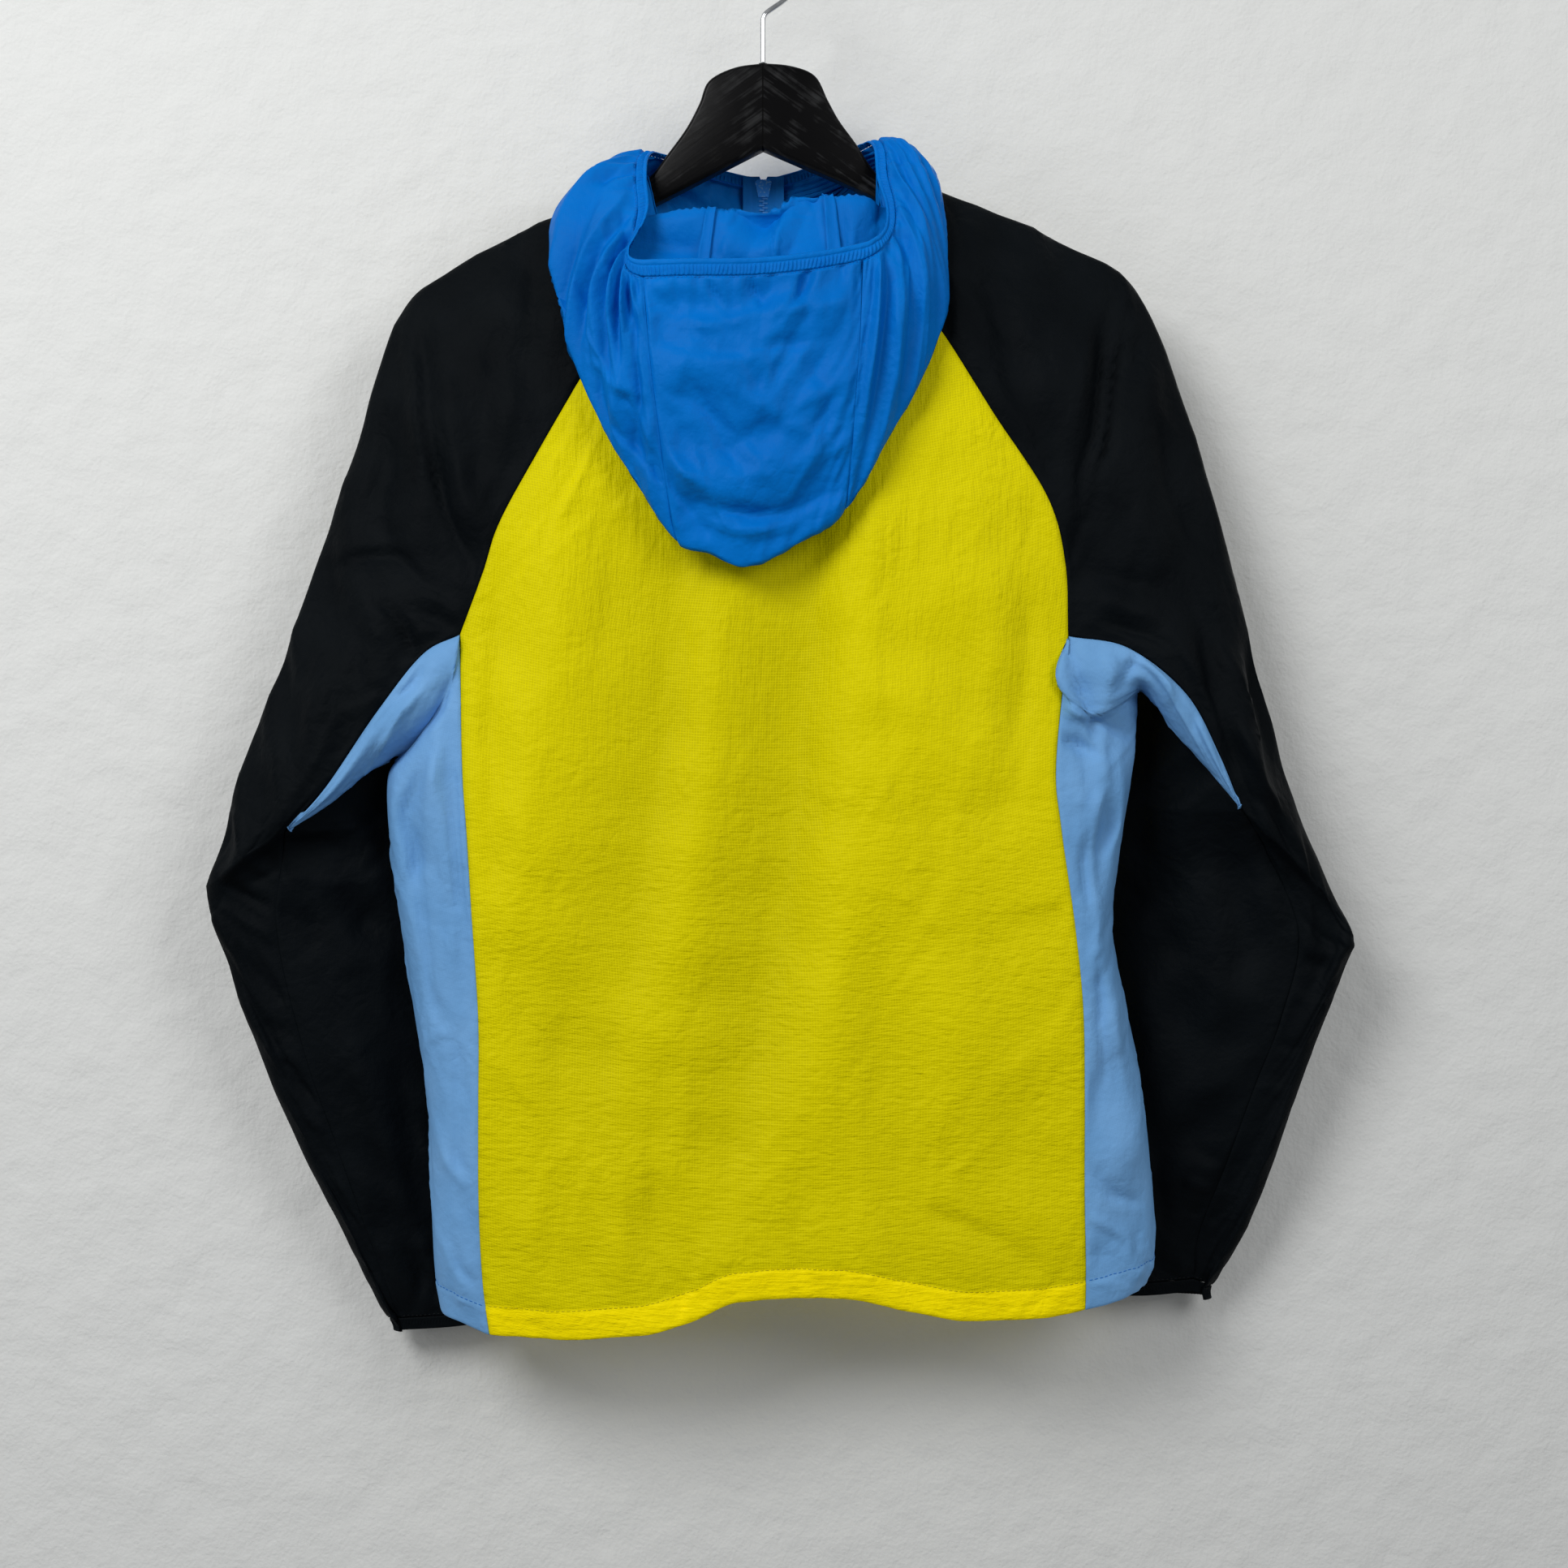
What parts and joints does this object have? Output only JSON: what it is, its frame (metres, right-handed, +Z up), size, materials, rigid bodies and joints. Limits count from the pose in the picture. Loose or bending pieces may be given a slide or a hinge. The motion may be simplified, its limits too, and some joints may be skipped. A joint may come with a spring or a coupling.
{
  "type": "windbreaker jacket on a hanger",
  "caption": "Hooded raglan windbreaker in colour-blocked woven cloth, hanging by its shoulders from a two-piece wooden hanger with a wire hook.",
  "frame": {"origin": "inside top of the hanger's hook ring, where a rail carries it", "axes": "+Z up, the back of the jacket faces -Y and its front +Y, the wearer's right is at +X"},
  "size_m": [0.713, 0.1348, 0.8794],
  "materials": {
    "yellow_ripstop": "crisp thin ripstop with a soft sheen",
    "black_woven": "matt plain weave",
    "light_blue_woven": "soft sheen plain weave",
    "blue_woven": "soft sheen plain weave",
    "black_elastic": "gathered elastic binding",
    "blue_elastic": "gathered elastic binding",
    "blue_zip_tape": "woven tape",
    "painted_zip_metal": "glossy enamel",
    "black_lacquer": "satin lacquer",
    "chrome_wire": "polished plating"
  },
  "bodies": {
    "jacket": {"back_panel": "yellow_ripstop", "front_left": "yellow_ripstop", "front_right": "yellow_ripstop", "side_left": "light_blue_woven", "side_right": "light_blue_woven", "sleeve_left": "black_woven", "sleeve_right": "black_woven", "cuff_left": "black_elastic", "cuff_right": "black_elastic", "hood_left": "blue_woven", "hood_centre": "blue_woven", "hood_right": "blue_woven", "hood_brim": "blue_elastic", "zip_tape_left": "blue_zip_tape", "zip_tape_right": "blue_zip_tape", "zip_slider": "painted_zip_metal", "hanger_left": "black_lacquer", "hanger_right": "black_lacquer", "hanger_hook": "chrome_wire"},
    "pull_tab": {"zip_pull": "painted_zip_metal"}
  },
  "joints": [
    {"name": "pull_tab_swing", "type": "hinge", "parent": "jacket", "child": "pull_tab", "pos_m": [0, 0.0395, -0.15325], "axis": [1, 0, 0], "range_deg": [0, 120]}
  ]
}
